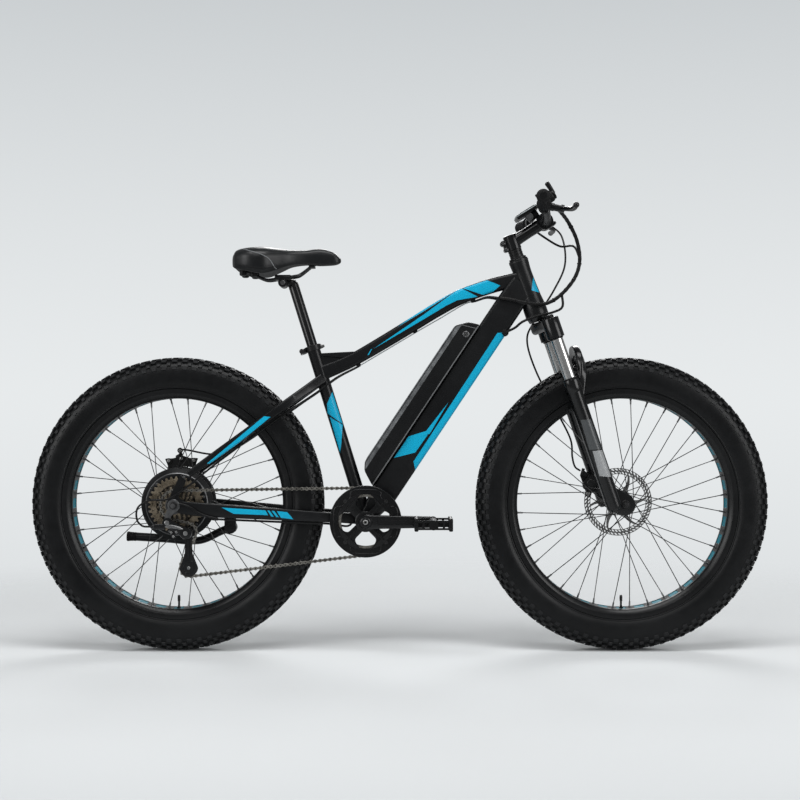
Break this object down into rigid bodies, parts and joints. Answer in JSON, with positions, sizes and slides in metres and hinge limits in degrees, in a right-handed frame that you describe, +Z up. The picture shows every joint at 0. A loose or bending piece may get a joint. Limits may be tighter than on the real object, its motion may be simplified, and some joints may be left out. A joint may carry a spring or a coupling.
{
  "type": "electric bicycle",
  "caption": "Fat-tyre electric bicycle with a down-tube battery, rear hub motor, suspension fork, disc brakes and a chain drive.",
  "frame": {"origin": "on the ground, midway between the wheels in the bicycle's centre plane", "axes": "+X forward, +Z up, -Y towards the drive side (the rider's right)"},
  "size_m": [1.8956, 0.6818, 1.1858],
  "materials": {
    "head_tube": "matt black paint",
    "top_tube": "matt black paint",
    "down_tube": "matt black paint",
    "seat_tube": "matt black paint",
    "bottom_bracket_shell": "matt black paint",
    "seat_stay_right": "matt black paint",
    "seat_stay_left": "matt black paint",
    "chain_stay_right": "matt black paint",
    "chain_stay_left": "matt black paint",
    "rear_axle": "bright steel",
    "rear_brake_caliper": "black anodised",
    "rear_derailleur": "black anodised",
    "chain": "oiled bronze-brown steel",
    "seat_collar": "black anodised",
    "shift_cable": "black plastic",
    "rear_brake_cable": "black plastic",
    "motor_cable": "black plastic",
    "rear_tyre": "dull black rubber",
    "rear_rim": "black anodised",
    "hub_motor": "black anodised",
    "rear_rotor": "bright steel",
    "freewheel": "oiled bronze-brown steel",
    "crank_right": "black anodised",
    "crank_left": "black anodised",
    "chainring": "black anodised",
    "pedal_right": "black plastic",
    "pedal_left": "black plastic",
    "fork_crown": "chromed stanchions on a black crown",
    "headset_spacers": "black anodised",
    "stem": "black anodised",
    "handlebar": "black anodised",
    "grip_right": "black rubber",
    "grip_left": "black rubber",
    "brake_perch_right": "black anodised",
    "brake_perch_left": "black anodised",
    "shifter_body": "black plastic",
    "throttle_body": "black plastic",
    "display": "black plastic",
    "cable_loom": "black plastic",
    "brake_lever_right": "black anodised",
    "brake_lever_left": "black anodised",
    "shift_lever": "black plastic",
    "throttle_paddle": "black plastic",
    "fork_lowers": "matt black paint",
    "front_axle": "bright steel",
    "front_brake_caliper": "black anodised",
    "front_brake_cable": "black plastic",
    "front_tyre": "dull black rubber",
    "front_rim": "black anodised",
    "front_hub": "black anodised",
    "front_rotor": "bright steel",
    "seatpost": "black anodised",
    "saddle": "smooth black cover",
    "saddle_rails": "black anodised",
    "seat_qr_lever": "black anodised",
    "kickstand": "black anodised",
    "battery": "black plastic",
    "derailleur_cage": "black anodised",
    "guide_pulley": "black plastic",
    "tension_pulley": "black plastic"
  },
  "bodies": {
    "frame": {"head_tube": "head_tube", "top_tube": "top_tube", "down_tube": "down_tube", "seat_tube": "seat_tube", "bottom_bracket_shell": "bottom_bracket_shell", "seat_stay_right": "seat_stay_right", "seat_stay_left": "seat_stay_left", "chain_stay_right": "chain_stay_right", "chain_stay_left": "chain_stay_left", "rear_axle": "rear_axle", "rear_brake_caliper": "rear_brake_caliper", "rear_derailleur": "rear_derailleur", "chain": "chain", "seat_collar": "seat_collar", "shift_cable": "shift_cable", "rear_brake_cable": "rear_brake_cable", "motor_cable": "motor_cable"},
    "rear_wheel": {"rear_tyre": "rear_tyre", "rear_rim": "rear_rim", "hub_motor": "hub_motor", "rear_rotor": "rear_rotor"},
    "freewheel": {"freewheel": "freewheel"},
    "crankset": {"crank_right": "crank_right", "crank_left": "crank_left", "chainring": "chainring"},
    "pedal_right": {"pedal_right": "pedal_right"},
    "pedal_left": {"pedal_left": "pedal_left"},
    "steering": {"fork_crown": "fork_crown", "headset_spacers": "headset_spacers", "stem": "stem", "handlebar": "handlebar", "grip_right": "grip_right", "grip_left": "grip_left", "brake_perch_right": "brake_perch_right", "brake_perch_left": "brake_perch_left", "shifter_body": "shifter_body", "throttle_body": "throttle_body", "display": "display", "cable_loom": "cable_loom"},
    "brake_lever_right": {"brake_lever_right": "brake_lever_right"},
    "brake_lever_left": {"brake_lever_left": "brake_lever_left"},
    "shift_lever": {"shift_lever": "shift_lever"},
    "throttle_paddle": {"throttle_paddle": "throttle_paddle"},
    "fork_lowers": {"fork_lowers": "fork_lowers", "front_axle": "front_axle", "front_brake_caliper": "front_brake_caliper", "front_brake_cable": "front_brake_cable"},
    "front_wheel": {"front_tyre": "front_tyre", "front_rim": "front_rim", "front_hub": "front_hub", "front_rotor": "front_rotor"},
    "seat": {"seatpost": "seatpost", "saddle": "saddle", "saddle_rails": "saddle_rails"},
    "seat_qr_lever": {"seat_qr_lever": "seat_qr_lever"},
    "kickstand": {"kickstand": "kickstand"},
    "battery": {"battery": "battery"},
    "derailleur_cage": {"derailleur_cage": "derailleur_cage"},
    "guide_pulley": {"guide_pulley": "guide_pulley"},
    "tension_pulley": {"tension_pulley": "tension_pulley"}
  },
  "joints": [
    {"name": "steering_turn", "type": "hinge", "parent": "frame", "child": "steering", "pos_m": [0.355, 0, 0.861], "axis": [-0.3256, 0, 0.9455], "range_deg": [-60, 60], "deforming": ["cable_loom"]},
    {"name": "fork_travel", "type": "slide", "parent": "steering", "child": "fork_lowers", "axis": [-0.3256, 0, 0.9455], "range_m": [0, 0.06], "stiffness_N_per_m": 9000, "springref_m": -0.02, "deforming": ["front_brake_cable"]},
    {"name": "front_wheel_spin", "type": "hinge", "parent": "fork_lowers", "child": "front_wheel", "pos_m": [0.571, 0, 0.3775], "axis": [0, 1, 0], "continuous": true},
    {"name": "rear_wheel_spin", "type": "hinge", "parent": "frame", "child": "rear_wheel", "pos_m": [-0.571, 0, 0.3775], "axis": [0, 1, 0], "continuous": true},
    {"name": "crank_spin", "type": "hinge", "parent": "frame", "child": "crankset", "pos_m": [-0.087, 0, 0.336], "axis": [0, 1, 0], "continuous": true},
    {"name": "freewheel_spin", "type": "hinge", "parent": "frame", "child": "freewheel", "pos_m": [-0.571, 0, 0.3775], "axis": [0, 1, 0], "continuous": true},
    {"name": "cage_swing", "type": "hinge", "parent": "frame", "child": "derailleur_cage", "pos_m": [-0.5385, -0.0705, 0.309], "axis": [0, 1, 0], "range_deg": [-20, 25], "stiffness_Nm_per_rad": 1.5, "deforming": ["chain"]},
    {"name": "guide_pulley_spin", "type": "hinge", "parent": "derailleur_cage", "child": "guide_pulley", "pos_m": [-0.5385, -0.0705, 0.309], "axis": [0, 1, 0], "continuous": true},
    {"name": "tension_pulley_spin", "type": "hinge", "parent": "derailleur_cage", "child": "tension_pulley", "pos_m": [-0.5355, -0.0705, 0.2185], "axis": [0, 1, 0], "continuous": true},
    {"name": "pedal_right_spin", "type": "hinge", "parent": "crankset", "child": "pedal_right", "pos_m": [0.083, -0.146, 0.336], "axis": [0, 1, 0], "continuous": true},
    {"name": "pedal_left_spin", "type": "hinge", "parent": "crankset", "child": "pedal_left", "pos_m": [-0.257, 0.146, 0.336], "axis": [0, 1, 0], "continuous": true},
    {"name": "brake_pull_right", "type": "hinge", "parent": "steering", "child": "brake_lever_right", "pos_m": [0.39898, -0.19109, 1.11398], "axis": [-0.2164, 0.0027, -0.9763], "range_deg": [0, 20], "stiffness_Nm_per_rad": 2, "springref_deg": -20.05},
    {"name": "brake_pull_left", "type": "hinge", "parent": "steering", "child": "brake_lever_left", "pos_m": [0.39898, 0.19109, 1.11398], "axis": [0.2164, 0.0027, 0.9763], "range_deg": [0, 20], "stiffness_Nm_per_rad": 2, "springref_deg": -20.05},
    {"name": "shift_lever_turn", "type": "hinge", "parent": "steering", "child": "shift_lever", "pos_m": [0.37646, -0.157, 1.15143], "axis": [0.853, 0, 0.5219], "range_deg": [-34, 34]},
    {"name": "throttle_press", "type": "hinge", "parent": "steering", "child": "throttle_paddle", "pos_m": [0.3543, -0.19525, 1.12388], "axis": [-0.1115, -0.9935, 0.022], "range_deg": [0, 40], "stiffness_Nm_per_rad": 0.15, "springref_deg": -28.65},
    {"name": "seatpost_height", "type": "slide", "parent": "frame", "child": "seat", "axis": [-0.2974, 0, 0.9548], "range_m": [-0.12, 0.06]},
    {"name": "seat_lever_release", "type": "hinge", "parent": "frame", "child": "seat_qr_lever", "pos_m": [-0.25222, 0.0298, 0.76895], "axis": [-0.2974, 0, 0.9548], "range_deg": [0, 150]},
    {"name": "kickstand_swing", "type": "hinge", "parent": "frame", "child": "kickstand", "pos_m": [-0.449, 0.115, 0.306], "axis": [0, -1, 0], "range_deg": [0, 100]},
    {"name": "battery_slide", "type": "slide", "parent": "frame", "child": "battery", "axis": [0.5545, 0, 0.8322], "range_m": [0, 0.04]}
  ],
  "couplings": [
    {"joint": "freewheel_spin", "follows": "crank_spin", "ratio": 2.3333},
    {"joint": "guide_pulley_spin", "follows": "crank_spin", "ratio": -3.8182},
    {"joint": "tension_pulley_spin", "follows": "crank_spin", "ratio": 3.8182}
  ]
}
